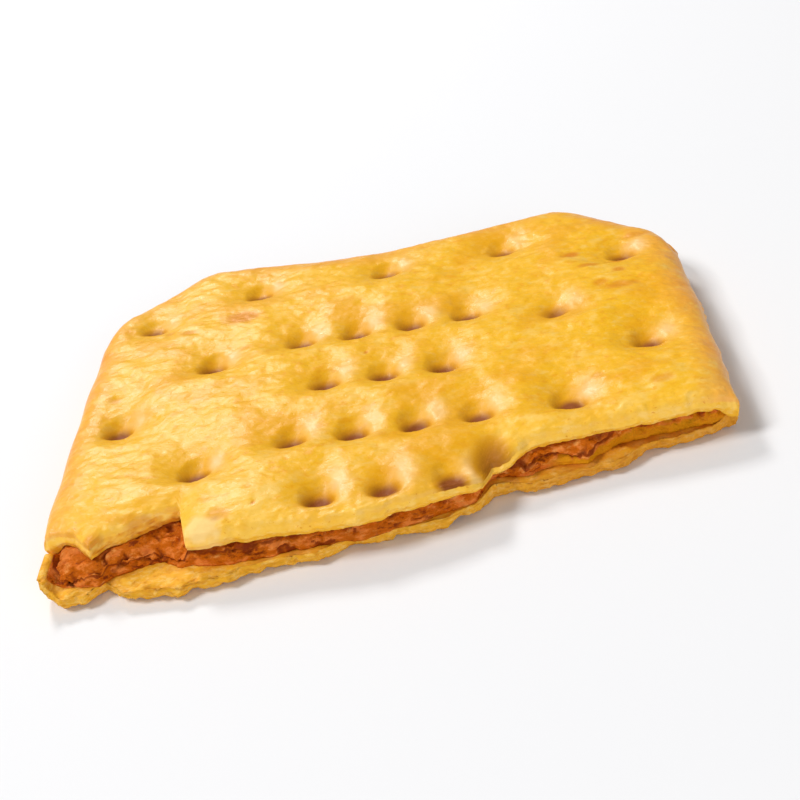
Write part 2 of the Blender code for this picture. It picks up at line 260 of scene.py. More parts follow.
# Relief of the torn dough
FLAKED_RELIEF = 0.1
FOOT_RELIEF = 0.13
UPPER_CRUMB = 0.14
UPPER_FLAKES = 0.1
LOWER_CRUMB = 0.24
LOWER_FLAKES = 0.14
WALL_ROUNDING = 0.2
LOWER_FACE_RELIEF = 0.3
LOWER_FACE_DROP = 0.2
FRAYED_LIFT = 0.3
FRAYED_REACH = 0.9

# Relief of the torn filling
FIBRE_HEIGHT = 0.34
LUMP_HEIGHT = 0.3
LUMP_SIZE = 0.8
CREVICE_DEPTH = 0.28
LEAST_FILLING = 0.12

# Colours of the baked skin, the torn dough and the filling
CREAM = (0.90, 0.565, 0.105)
GOLD = (0.88, 0.47, 0.010)
AMBER = (0.82, 0.36, 0.002)
RIM_TAN = (0.88, 0.38, 0.068)
RIM_BROWN = (0.70, 0.23, 0.015)
HOLE_BROWN = (0.26, 0.060, 0.000)
# Colour of the painted highlight behind each hole
SHEEN_CREAM = (0.95, 0.66, 0.34)
OCHRE = (0.74, 0.33, 0.001)
TOAST_BROWN = (0.70, 0.24, 0.003)
LIP_PALE = (0.95, 0.54, 0.055)
CRUMB_PALE = (0.96, 0.60, 0.13)
CRUMB_YELLOW = (0.90, 0.45, 0.015)
CRUMB_OCHRE = (0.66, 0.26, 0.002)
FLAKE_CREAM = (0.97, 0.66, 0.24)
ORANGE_BROWN = (0.56, 0.16, 0.004)
MEAT_PINK = (0.80, 0.225, 0.038)
MEAT_ORANGE = (0.58, 0.125, 0.000)
MEAT_MAROON = (0.20, 0.022, 0.000)
MEAT_FAT = (0.86, 0.36, 0.085)
DOUGH_TAN = (0.74, 0.27, 0.003)

# The camera stands as the photograph's did
CAMERA_TARGET = (1.3, -6.73, 4.2)
CAMERA_DISTANCE = 88.8
CAMERA_AZIMUTH = -6.65
CAMERA_ELEVATION = 34.22
CAMERA_ROLL = -12.94
CAMERA_LENS = 54.0
CAMERA_SENSOR = 36.0
WORLD_STRENGTH = 0.28


def clamp(value, low=0.0, high=1.0):
    return np.clip(value, low, high)


def smooth_step(low, high, value):
    """0 up to low, 1 from high on, and a smooth rise between."""
    share = clamp((value - low) / (high - low))
    return share * share * (3 - 2 * share)


def soft_min(a, b, blend):
    """The smaller of two values, rounded off where they differ by less than blend."""
    share = clamp(0.5 + 0.5 * (b - a) / blend)
    return b + (a - b) * share - blend * share * (1 - share)


def sampled(function, *coordinates):
    """function of a point, at every point of the coordinate arrays."""
    arrays = np.broadcast_arrays(*coordinates)
    values = [function(point) for point in zip(*(a.ravel().tolist() for a in arrays))]
    return np.array(values).reshape(arrays[0].shape)


def wave(x, y, length, seed):
    """Smooth noise from -1 to 1 whose bumps are about one length across."""
    return sampled(noise.noise, x / length, y / length, np.array(seed))


def rough(x, y, z, length, octaves=3):
    """Noise with finer and finer bumps added, the largest about one length across."""
    return sampled(lambda p: noise.fractal(p, 0.8, 2.1, octaves), x / length, y / length, z / length)


def lumps(x, y, z, length):
    """1 in the middle of each lump, falling to 0 in the creases between lumps of about one length."""
    def crease(point):
        near, far = noise.voronoi(point)[0][:2]
        return far - near

    return clamp(sampled(crease, x / length, y / length, z / length) * 1.6)


def side_x(y):
    """How far the sides stand from the middle at a given depth."""
    bulge = SIDE_BULGE * (1 - (y / SIDE_REACH) ** 2)
    return HALF_WIDTH + bulge + EDGE_WAVE * wave(np.array(0.0), y, EDGE_WAVE_LENGTH, SIDE_SEED)


def back_y(x):
    """The back edge with its slight dip, cut corners and waves."""
    across = np.minimum(np.abs(x), HALF_WIDTH)
    straight = HALF_WIDTH - CORNER_CUT
    dip = BACK_DIP * clamp(1 - (across / straight) ** 2) ** 2
    cut = BACK_Y + straight - across
    edge = soft_min(BACK_Y - dip, cut, CORNER_ROUND)
    turn = clamp((across - (HALF_WIDTH - CORNER_ROUND)) / CORNER_ROUND)
    edge = edge - CORNER_ROUND * (1 - np.sqrt(1 - turn * turn))
    return edge + EDGE_WAVE * wave(x, np.array(0.0), EDGE_WAVE_LENGTH, BACK_SEED)


def break_y(line, x):
    """The front edge of a layer, with its fine roughness."""
    xs, ys = np.array(line).T
    rough_part = BREAK_ROUGHNESS * wave(x, ys[0], BREAK_ROUGHNESS_LENGTH, BREAK_SEED)
    return np.interp(x, xs, ys) + rough_part


def break_distance(line, x, y):
    """Distance to the line's straight segments, rounded off where two are equally near."""
    nearest = np.full(np.shape(x), FAR)
    for (x0, y0), (x1, y1) in zip(line, line[1:]):
        run, rise = x1 - x0, y1 - y0
        share = clamp(((x - x0) * run + (y - y0) * rise) / (run * run + rise * rise))
        away = np.hypot(x - x0 - share * run, y - y0 - share * rise)
        nearest = soft_min(nearest, away, LEAST_BLEND + FOLD_BLEND * (nearest + away))
    return nearest


def rim_distance(x, y):
    """Distance in from the baked rim: the back, the sides and the cut corners."""
    corner = HALF_WIDTH - CORNER_CUT
    slanted = smooth_step(corner - CORNER_ROUND, corner + CORNER_ROUND, np.abs(x))
    from_back = (back_y(x) - y) / (1 + (math.sqrt(2) - 1) * slanted)
    from_side = side_x(y) - np.abs(x)
    return np.maximum(0.0, soft_min(from_back, from_side, CORNER_ROUND))


def docking_holes():
    """The holes round the border, then the staggered grid of the middle."""
    holes = list(BORDER_HOLES)
    for row in range(GRID_ROWS):
        count = GRID_LONG_ROW - row % 2
        for column in range(count):
            x = (column - (count - 1) / 2) * GRID_COLUMN_STEP
            y = GRID_FIRST_Y - row * GRID_ROW_STEP
            holes.append((x, y, 0.9 + 0.15 * noise.noise((x / 2.7, y / 2.7, HOLE_SEED))))
    return holes


HOLES = docking_holes()


def hole_distance(x, y, hole_x, hole_y, back=HOLE_BACK, front=HOLE_FRONT):
    """Distance from a hole that is drawn out by the given factors behind and in front of it."""
    ahead = y - hole_y
    return np.hypot(x - hole_x, np.where(ahead > 0, ahead / back, ahead / front))


def spot_distance(x, y, middle, radii):
    """Distance from the middle of an oval spot, 1 on its outline."""
    return np.hypot((x - middle[0]) / radii[0], (y - middle[1]) / radii[1])


def hollow(x, y, radius, depth):
    """Depth of the docking holes themselves, flat at the bottom."""
    found = np.zeros_like(x)
    for hole_x, hole_y, share in HOLES:
        away = hole_distance(x, y, hole_x, hole_y) / radius
        found = np.maximum(found, share * depth * (1 - clamp(away) ** HOLE_FLATNESS) ** 2)
    return found


def hole_shade(x, y):
    """1 at the deepest, front part of each hole: browned dough, with painted shade over it."""
    shade = np.zeros_like(x)
    for hole_x, hole_y, share in HOLES:
        away = hole_distance(x, y, hole_x, hole_y - SHADE_SHIFT, SHADE_BACK, SHADE_FRONT) / SHADE_RADIUS
        shade = np.maximum(shade, clamp(share) * (1 - smooth_step(0.1, 1.0, away)))
    dip = 1 - smooth_step(0.2, 1.2, scoop_distance(x, y) / SCOOP_RADIUS)
    return np.maximum(shade, SCOOP_SHADE * dip)


def painted_sheen(x, y):
    """1 where a highlight is painted: a pale sheen on the slope behind each hole, to its right."""
    share = np.zeros_like(x)
    for hole_x, hole_y, strength in HOLES:
        away = spot_distance(x, y, (hole_x + SHEEN_SHIFT[0], hole_y + SHEEN_SHIFT[1]), SHEEN_RADII)
        share = np.maximum(share, strength * np.exp(-away * away))
    return share * clamp(0.85 + 0.6 * wave(x, y, 0.9, SHEEN_SEED))


def saucer(x, y):
    """Depth of the wide dishes round the holes, which run together where two are near."""
    sunk = np.zeros_like(x)
    for hole_x, hole_y, share in HOLES:
        away = hole_distance(x, y, hole_x, hole_y) / SAUCER_RADIUS
        sunk += (share * np.exp(-away * away)) ** SAUCER_JOINING
    return SAUCER_DEPTH * sunk ** (1 / SAUCER_JOINING)


def scoop_distance(x, y):
    """Distance from the hole that the break runs through, drawn out behind it."""
    return hole_distance(x, y, *SCOOP_PLACE, SCOOP_BACK, 1.0)


def skin_z(x, y):
    """Height of the puffed skin, down to the rim, the rolled lip and the dip at the notch."""
    puffed = PLATEAU_Z - saucer(x, y) - hollow(x, y, HOLE_RADIUS, HOLE_DEPTH)
    puffed += SWELL_HEIGHT * wave(x, y, SWELL_LENGTH, SWELL_SEED)
    puffed += RIPPLE_HEIGHT * wave(x, y, RIPPLE_LENGTH, RIPPLE_SEED)
    corner = np.hypot(np.abs(x) - HALF_WIDTH, y - BACK_Y + CORNER_CUT)
    puffed += CORNER_LIFT * (1 - smooth_step(0.0, CORNER_LIFT_REACH, corner))
    rolled = (1 - clamp(break_distance(UPPER_BREAK, x, y) / LIP_REACH)) ** 2
    lip = LIP_Z - LIP_DROP * smooth_step(LIP_DROP_START, LIP_DROP_END, x)
    puffed += (lip - puffed) * rolled - SCOOP_DEPTH * np.exp(-((scoop_distance(x, y) / SCOOP_RADIUS) ** 2))
    inside = clamp(rim_distance(x, y) / RIM_WIDTH)
    rounded = RIM_TOP_Z + (puffed - RIM_TOP_Z) * np.sqrt(1 - (1 - inside) ** 2)
    return -soft_min(-rounded, -upper_underside_z(x, y) - LEAST_DOUGH, HOLE_BLEND)


def pinch(x, y):
    """0 where the sheets meet, at the rim's seam and the notch; 1 where the filling holds them apart."""
    gathered = GATHERING * np.exp(-((scoop_distance(x, y) / GATHER_RADIUS) ** 2))
    return smooth_step(PINCH_START, PINCH_END, rim_distance(x, y)) * (1 - gathered)


def upper_underside_z(x, y):
    """Height of the upper sheet's underside."""
    return SEAM_Z + (UPPER_UNDERSIDE_Z - SEAM_Z) * pinch(x, y)


def rim_curl(x, y):
    """How far the lower sheet's left rim stands up beside the bite."""
    beside_rim = 1 - smooth_step(CURL_START, CURL_END, side_x(y) + x)
    in_front = 1 - smooth_step(CURL_FRONT_Y, CURL_BACK_Y, y)
    return CURL_HEIGHT * beside_rim * in_front


def lower_top_z(x, y):
    """Height of the lower sheet's upper face."""
    seam = SEAM_Z - CONTACT_GAP
    return seam + (LOWER_TOP_Z - seam) * pinch(x, y) + rim_curl(x, y)


def filling_underside_z(x, y):
    """Height of the filling's underside."""
    return lower_top_z(x, y) + CONTACT_GAP


def graded(count, start, end, reach):
    """Values from 0 to 1 whose steps shrink to a share, start and end, of the usual step near each end."""
    middle = (np.arange(count - 1) + 0.5) / (count - 1)
    step = 1 - (1 - start) * np.exp(-((middle / reach) ** 2))
    step -= (1 - end) * np.exp(-(((1 - middle) / reach) ** 2))
    return np.concatenate(([0.0], np.cumsum(step) / step.sum()))


def plan_grid(line, across, along, inset=0.0, setback=0.0, jags=BREAK_JAGS):
    """x and y of a grid that fills a layer's plan: row 0 lies on the break, the last row on the back rim.

    The rows take the break's shape in front and lose it a few millimetres behind.
    """
    share = 2 * across - 1
    x = share * (HALF_WIDTH - inset)
    shifts = np.linspace(-STRAIGHTENING_WINDOW, STRAIGHTENING_WINDOW, 13)
    calm = np.mean([break_y(line, x + shift) for shift in shifts], axis=0)
    front = break_y(line, x) + setback + jags * rough(x, calm * 0, 0.0, BREAK_JAGS_LENGTH, 3)
    back = back_y(share * HALF_WIDTH) - 1.2 * inset
    behind = along[:, None] * (back - calm)
    y = calm + behind + (front - calm) * np.exp(-((behind / STRAIGHTENING) ** 2))
    side = np.sign(share) * np.abs(share) ** 8 * (side_x(y) - HALF_WIDTH)
    return x + side, y


def around(grid):
    """The outer points of a grid, anticlockwise from its first."""
    return np.concatenate((grid[0, :-1], grid[:-1, -1], grid[-1, :0:-1], grid[:0:-1, 0]))


def outward(x, y):
    """Unit vectors across a closed anticlockwise loop, pointing out, smoothed along it."""
    run_x = np.roll(x, -3) - np.roll(x, 3)
    run_y = np.roll(y, -3) - np.roll(y, 3)
    length = np.hypot(run_x, run_y) + 1e-9
    out = np.stack((run_y / length, -run_x / length))
    for _ in range(3):
        out = (out + np.roll(out, 1, axis=1) + np.roll(out, -1, axis=1)) / 3
    return out


def closed_piece(name, grid, loops, inner, height, flipped):
    """A closed mesh: a dense face, the loops of its wall, and a sparse face across the last loop.

    The dense face is the top, or the underside if flipped.
    """
    rows, columns = grid.shape[:2]
    index = np.arange(rows * columns).reshape(rows, columns)
    quads = [np.stack((index[:-1, :-1], index[:-1, 1:], index[1:, 1:], index[1:, :-1]), -1).reshape(-1, 4)]
    points = [grid.reshape(-1, 3)]
    used = rows * columns
    before = around(index)
    count = len(before)
    for loop in loops:
        ring = used + np.arange(count)
        quads.append(np.stack((ring, np.roll(ring, -1), np.roll(before, -1), before), -1))
        points.append(loop)
        used += count
        before = ring
    last = loops[-1]
    places = [Vector(p) for p in last[:, :2].tolist() + inner]
    joins = [(i, (i + 1) % count) for i in range(count)]
    made = delaunay_2d_cdt(places, joins, [list(range(count))], 1, 1e-6)
    number = {}
    extra = []
    for i, sources in enumerate(made[3]):
        on_loop = [source for source in sources if source < count]
        if on_loop:
            number[i] = before[on_loop[0]]
        else:
            number[i] = used + len(extra)
            extra.append(made[0][i])
    triangles = [tuple(int(number[i]) for i in reversed(face)) for face in made[2]]
    if extra:
        x, y = np.array(extra).T
        points.append(np.stack((x, y, height(x, y)), -1))
    faces = [tuple(face) for block in quads for face in block.tolist()] + triangles
    if flipped:
        faces = [face[::-1] for face in faces]
    mesh = bpy.data.meshes.new(name)
    mesh.from_pydata((np.concatenate(points) * MM).tolist(), [], faces)
    mesh.validate()
    mesh.shade_smooth()
    piece = bpy.data.objects.new(name, mesh)
    bpy.context.scene.collection.objects.link(piece)
    return piece


def paint(piece, layer, dense, wall):
    """Stores one number a vertex for the materials: of the dense face, then of the wall, then 0."""
    values = np.zeros(len(piece.data.vertices), np.float32)
    given = np.concatenate((np.ravel(dense), np.ravel(wall)))
    values[: len(given)] = given
    attribute = piece.data.attributes.new(layer, "FLOAT", "POINT")
    attribute.data.foreach_set("value", values)


def inner_lattice(loop, step):
    """Sparse points well inside a loop."""
    points = []
    low, high = loop[:, :2].min(axis=0), loop[:, :2].max(axis=0)
    for row, y in enumerate(np.arange(low[1] + step, high[1], step)):
        for x in np.arange(low[0] + step, high[0], step):
            shifted = x + step / 2 * (row % 2)
            nearest = np.hypot(loop[:, 0] - shifted, loop[:, 1] - y).min()
            inside = rim_distance(np.array(shifted), np.array(y)) > step / 2
            if nearest > 0.6 * step and inside and y > front_of(loop, shifted):
                points.append((float(shifted), float(y)))
    return points


def front_of(loop, x):
    """The loop's lowest y near x."""
    near = np.abs(loop[:, 0] - x) < 0.5
    return loop[near, 1].min() if near.any() else loop[:, 1].max()


def broken_share(columns, rows):
    """1 on the loop points of the break, 0 on those of the rim."""
    share = np.zeros(2 * (columns + rows) - 4)
    share[:columns] = 1.0
    return share


def fine_relief(x, y):
    """Small unevenness of baked skin: soft dimples, streaks drawn along the sheet, and scattered pits."""
    relief = DIMPLE_HEIGHT * wave(x * SKIN_STRETCH, y, 1.8, DIMPLE_SEED)
    relief += STREAK_HEIGHT * rough(x * SKIN_STRETCH, y, 0.0, 0.9, 4)
    draw = np.random.RandomState(PIT_SEED)
    for _ in range(PIT_COUNT):
        pit_x, pit_y = draw.uniform(-23, 23), draw.uniform(-17, 19)
        size, depth = draw.uniform(0.18, 0.45), draw.uniform(0.02, 0.08)
        away = spot_distance(x, y, (pit_x, pit_y), (PIT_STRETCH, 1.0)) / size
        relief -= depth * np.exp(-away * away)
    return relief


def spot_share(x, y, spots):
    """How strongly a point is browned by the listed spots."""
    share = np.zeros_like(x)
    ragged = 0.3 * wave(x, y, 0.7, SPOT_SEED)
    for spot_x, spot_y, wide, deep, strength in spots:
        away = spot_distance(x, y, (spot_x, spot_y), (wide, deep)) + ragged
        share = np.maximum(share, strength * (1 - smooth_step(0.4, 1.25, away)))
    return share


def pale_share(x, y):
    """How little a place is baked: most at the left and along the break."""
    share = 0.2 * (1 - smooth_step(-20.0, -4.0, x)) + 0.45 * (1 - smooth_step(-16.0, -7.0, y - 0.15 * x))
    return clamp(share + 0.35 * wave(x, y, 5.0, BAKING_SEED))


def bite_share(x):
    """1 along the bite, 0 along the rest of the break."""
    return smooth_step(-23.5, -20.5, x) * (1 - smooth_step(-14.9, -14.3, x))


def flaked_share(x, y):
    """1 where the skin has flaked off beside the bite."""
    away = spot_distance(x, y, FLAKED_SPOT, FLAKED_RADII)
    return 1 - smooth_step(0.45, 1.15, away + 0.35 * rough(x, y, 0.0, 0.9, 4))


def rim_swell(loop, broken, height, share):
    """Uneven bulge of a loop of the wall along the rim, none where share is 0 or 1."""
    uneven = 1 + SWELL_UNEVENNESS * rough(loop[:, 0], loop[:, 1], loop[:, 2] * 1.5, 1.5, 4)
    return (1 - broken) * height * math.sin(math.pi * min(1.0, share)) * uneven


def push_out(loop, out, broken, push):
    """Moves a loop of the wall: forward along the break, straight out along the rim."""
    loop[:, 0] += out[0] * push * (1 - broken)
    loop[:, 1] += np.where(broken > 0, -push, out[1] * push)


def wall_shares(count):
    """How far down the wall each of its loops lies, the last one at 1."""
    return np.linspace(0, 1, count + 1)[1:]


def make_upper_sheet():
    """The puffed and pricked sheet on top, with its rolled lip and torn front wall."""
    columns, rows = UPPER_GRID
    across = graded(columns, 0.35, 0.35, 0.08)
    along = graded(rows, 0.2, 0.35, 0.05)
    x, y = plan_grid(UPPER_BREAK, across, along, 0.0, UPPER_LIP_SETBACK)
    rim = rim_distance(x, y)
    z = skin_z(x, y)
    toasted = spot_share(x, y, TOASTED_SPOTS)
    z += smooth_step(0.0, 1.2, rim) * (fine_relief(x, y) - TOASTED_SINK * toasted)
    from_break = y - y[0]
    turn = clamp(1 - from_break / LIP_ROUND)
    z -= LIP_ROUND * (1 - np.sqrt(1 - turn * turn))
    z += LIP_RELIEF * rough(x, y, 0.0, 0.6, 4) * (1 - smooth_step(0.3, 1.6, from_break))
    flaked = flaked_share(x, y)
    z -= flaked * (FLAKED_DEPTH + FLAKED_RELIEF * rough(x, y, 0.0, 0.6, 3))
    grid = np.stack((x, y, z), -1)

    foot_x, foot_y = plan_grid(UPPER_BREAK, across, along)
    foot_x, foot_y = around(foot_x), around(foot_y)
    top = around(grid)
    broken = broken_share(columns, rows)
    foot_z = upper_underside_z(foot_x, foot_y) + broken * FOOT_RELIEF * rough(foot_x, foot_y, 0.0, 0.7)
    foot = np.stack((foot_x, foot_y, foot_z), -1)
    out = outward(foot_x, foot_y)
    loops = []
    crumb_wall = []
    flake_wall = []
    toast_wall = []
    for share in wall_shares(TALL_WALL_LOOPS):
        loop = top + (foot - top) * share
        swell = rim_swell(loop, broken, UPPER_RIM_SWELL, share * 1.15)
        torn = rough(loop[:, 0], loop[:, 1], loop[:, 2] * 2.2, 0.7)
        crumble = UPPER_CRUMB * torn
        crumble += UPPER_FLAKES * rough(loop[:, 0] * 0.6, loop[:, 1], loop[:, 2] * 4, 0.3, 2)
        crumble = WALL_ROUNDING * math.sin(math.pi * share) + crumble * share ** 2
        push_out(loop, out, broken, swell + broken * crumble * math.sin(math.pi * min(share + 0.12, 1.0)))
        loops.append(loop)
        flake_wall.append(broken * flaked_share(loop[:, 0], loop[:, 1]))
        toast_wall.append(broken * bite_share(loop[:, 0]) * clamp(0.45 + 0.9 * torn))
        crumbly = broken * smooth_step(0.3, 0.65, share + 0.45 * torn)
        crumb_wall.append(np.maximum(crumbly, flake_wall[-1]))
    inner = inner_lattice(loops[-1], SHEET_STEP)
    piece = closed_piece("upper_dough", grid, loops, inner, upper_underside_z, False)

    crumb_wall = np.concatenate(crumb_wall)
    bare = np.zeros(len(crumb_wall))
    wall = np.tile(broken, len(loops))
    lip = (1 - smooth_step(0.0, 2.4, break_distance(UPPER_BREAK, x, y))) ** 1.3
    # Along the folds the lip's pale colours are a painted highlight
    for fold in SHEEN_FOLDS:
        lip = np.maximum(lip, np.exp(-((break_distance(fold, x, y) / FOLD_WIDTH) ** 2)))
    paint(piece, "rim", 1 - smooth_step(0.0, 3.4, rim), 1 - wall)
    # Browned dough and painted shade in the holes
    paint(piece, "hole", hole_shade(x, y), bare)
    # Deeper baked colour and painted shade in the dishes round the holes
    paint(piece, "dish", saucer(x, y) / SAUCER_DEPTH, bare)
    paint(piece, "lip", lip, wall)
    paint(piece, "crumb", flaked, crumb_wall)
    paint(piece, "toast_and_shadow", toasted, toast_wall)
    paint(piece, "flake", flaked, flake_wall)
    paint(piece, "pale", pale_share(x, y), wall)
    # Painted highlight behind each hole
    paint(piece, "painted_sheen", painted_sheen(x, y), bare)
    return piece


def fibres(x, y, z):
    """Relief of the torn filling, drawn out along the break, and how deep in a crevice a point lies."""
    drawn = rough(x * 0.45, y * 0.8, z, 0.5, 4)
    split = np.abs(sampled(noise.noise, x * 0.75, y * 1.1, z * 1.9 + 40.0)) - 0.12 * np.abs(drawn)
    torn = smooth_step(-0.25, 0.25, wave(x + 9.0, y + z, 1.1, TEAR_SEED))
    crevice = torn * (1 - smooth_step(0.0, 0.2, split))
    lumpy = smooth_step(-0.05, 0.3, wave(x, y * 0, 3.0, LUMPY_SEED))
    lump = lumpy * lumps(x, y, z, LUMP_SIZE)
    return FIBRE_HEIGHT * drawn + LUMP_HEIGHT * lump - CREVICE_DEPTH * crevice, crevice


def make_filling():
    """The thin layer of meat, bare and lumpy where it stands out past the upper sheet."""
    columns, rows = FILLING_GRID
    across = graded(columns, 0.5, 0.5, 0.05)
    along = graded(rows, 0.06, 1.0, 0.55)
    x, y = plan_grid(FILLING_BREAK, across, along, FILLING_INSET, FILLING_SETBACK)
    from_break = y - y[0]
    ahead = break_y(UPPER_BREAK, x) - y
    bare_share = smooth_step(-0.5, 0.4, ahead)
    z = upper_underside_z(x, y) - CONTACT_GAP
    bulge, crevice = fibres(x, y, z)
    relief = bulge - 0.15
    ramp = 0.5 * smooth_step(0.3, 3.0, ahead) + 0.3 * (1 - smooth_step(0.0, 1.0, from_break))
    z += bare_share * (relief - ramp - 0.08)
    z = np.maximum(z, filling_underside_z(x, y) + LEAST_FILLING)
    grid = np.stack((x, y, z), -1)
    top = around(grid)
    foot_x, foot_y = plan_grid(FILLING_BREAK, across, along, FILLING_INSET)
    foot_x, foot_y = around(foot_x), around(foot_y)
    foot = np.stack((foot_x, foot_y, filling_underside_z(foot_x, foot_y)), -1)
    broken = broken_share(columns, rows)
    loops = []
    shaded_wall = []
    dough_wall = []
    for share in wall_shares(TALL_WALL_LOOPS):
        loop = top + (foot - top) * share
        bulge_here, crevice_here = fibres(loop[:, 0], loop[:, 1], loop[:, 2])
        loop[:, 1] -= broken * bulge_here * math.sin(math.pi * min(share + 0.1, 0.92))
        loops.append(loop)
        # Painted shade along the top of the wall, under the upper sheet
        ragged = 0.25 * wave(loop[:, 0], loop[:, 2] * 0, 0.5, OVERHANG_SEED)
        overhang_shade = 1 - smooth_step(0.1, 0.45, share + ragged)
        shaded_wall.append(np.maximum(crevice_here, overhang_shade))
        thin = smooth_step(10.5, 12.5, loop[:, 0]) * smooth_step(0.4, 0.6, share + 0.2 * crevice_here)
        dough_wall.append(thin * broken)
    inner = inner_lattice(loops[-1], FILLING_STEP)
    piece = closed_piece("bacon_crumb", grid, loops, inner, filling_underside_z, False)
    shade = 1 - smooth_step(-0.4, 0.5, ahead)
    # Painted shade: dark in the crevices and where the filling lies under the upper sheet
    paint(piece, "crease", np.maximum(crevice, shade * 0.85), shaded_wall)
    paint(piece, "dough", np.zeros_like(x), dough_wall)
    return piece


def break_stain_and_shadow(x):
    """How brown the lower sheet's break is painted: a little stain all along, and painted shadow that grows
    towards the right.
    """
    return 0.15 + 0.35 * smooth_step(2.0, 14.0, x)


def make_lower_sheet():
    """The sheet below: its baked underside is the dense face, and its torn face goes in under the filling."""
    columns, rows = LOWER_GRID
    across = graded(columns, 0.35, 0.35, 0.08)
    along = graded(rows, 0.25, 0.3, 0.06)
    x, y = plan_grid(LOWER_BREAK, across, along, 0.0, LOWER_LIP_SETBACK, LOWER_JAGS)
    rim = rim_distance(x, y)
    inside = clamp(rim / UNDERSIDE_RIM_WIDTH)
    z = RIM_UNDERSIDE_Z * (1 - np.sqrt(1 - (1 - inside) ** 2))
    dent = hollow(x, y, DENT_RADIUS, 1.0)
    z = np.maximum(z, dent * DENT_DEPTH)
    z += UNDERSIDE_RELIEF * clamp(0.2 + wave(x, y, 1.7, UNDERSIDE_SEED)) * smooth_step(0.5, 2.0, rim)
    frayed = clamp(0.4 + rough(x, y * 0, 0.0, 1.6, 3))
    z += FRAYED_LIFT * frayed * clamp(1 - (y - y[0]) / FRAYED_REACH) ** 2
    grid = np.stack((x, y, z), -1)
    bottom = around(grid)
    lip_x, lip_y = plan_grid(LOWER_BREAK, across, along, jags=LOWER_JAGS)
    lip_x, lip_y = around(lip_x), around(lip_y)
    lip = np.stack((lip_x, lip_y, lower_top_z(lip_x, lip_y)), -1)
    broken = broken_share(columns, rows)
    out = outward(lip_x, lip_y)
    loops = []
    crumb_wall = []
    stain_and_shadow_wall = []
    for share in wall_shares(LOWER_WALL_LOOPS):
        loop = bottom + (lip - bottom) * share
        swell = rim_swell(loop, broken, LOWER_RIM_SWELL, 0.12 + share)
        crumble = LOWER_CRUMB * rough(loop[:, 0] * 0.8, loop[:, 1], loop[:, 2] * 2.2, 0.9)
        crumble += LOWER_FLAKES * rough(loop[:, 0] * 0.6, loop[:, 1], loop[:, 2] * 5, 0.35, 3)
        rounding = WALL_ROUNDING * math.sin(math.pi * min(share + 0.1, 1.0))
        torn = crumble * (0.4 + 0.6 * math.sin(math.pi * share)) + rounding
        push_out(loop, out, broken, swell + broken * torn)
        loops.append(loop)
        crumb_wall.append(broken)
        # Stain and painted shadow on the break, the shadow growing towards the right
        stain_and_shadow_wall.append(broken * break_stain_and_shadow(loop[:, 0]))
    # Rows over the lip and in under the filling
    back_share = np.zeros(len(lip))
    back_share[columns:columns + rows - 2] = np.linspace(0, 1, rows)[1:-1]
    back_share[columns + rows - 2:2 * columns + rows - 3] = 1.0
    back_share[2 * columns + rows - 3:] = np.linspace(1, 0, len(lip) - 2 * columns - rows + 3)
    edge = loops[-1]
    for depth in TUCKED_ROWS:
        inner_x = edge[:, 0] * (1 - depth / HALF_WIDTH)
        inner_y = edge[:, 1] + depth * (1 - 2 * back_share)
        torn = 1 - smooth_step(-0.5, 0.2, inner_y - break_y(FILLING_BREAK, inner_x))
        curl = rim_curl(inner_x, inner_y)
        bump = LOWER_FACE_RELIEF * rough(inner_x * 0.7, inner_y, 0.0, 0.9, 5)
        bump -= LOWER_FACE_DROP * math.exp(-depth / 0.3)
        inner_z = lower_top_z(inner_x, inner_y) + np.maximum(broken, curl > 0.05) * torn * bump
        loops.append(np.stack((inner_x, inner_y, inner_z), -1))
        crumb_wall.append(np.maximum(broken, clamp(curl * 4)))
        # Stain where the filling lies near, over the break's stain and painted shadow
        near_filling = smooth_step(-0.9, 0.1, inner_y - break_y(FILLING_BREAK, inner_x))
        patchy = 0.35 + 0.6 * wave(inner_x, inner_y, 1.3, STAIN_SEED)
        stain_and_shadow_wall.append(break_stain_and_shadow(inner_x) + broken * near_filling * patchy)
    inner = inner_lattice(loops[-1], SHEET_STEP)
    piece = closed_piece("lower_dough", grid, loops, inner, lower_top_z, True)
    crumb_wall = np.concatenate(crumb_wall)
    bare = np.zeros(len(crumb_wall))
    paint(piece, "rim", 1 - smooth_step(0.0, 2.6, rim), 1 - crumb_wall)
    paint(piece, "hole", 0.55 * dent, bare)
    paint(piece, "dish", 0.6 * np.ones_like(x), bare)
    paint(piece, "crumb", np.zeros_like(x), crumb_wall)
    baked = clamp(0.3 + 0.6 * rough(x, y, 0.0, 3.2, 5))
    # Baked mottling underneath; stain and painted shadow on the break
    paint(piece, "toast_and_shadow", baked, np.concatenate(stain_and_shadow_wall))
    return piece


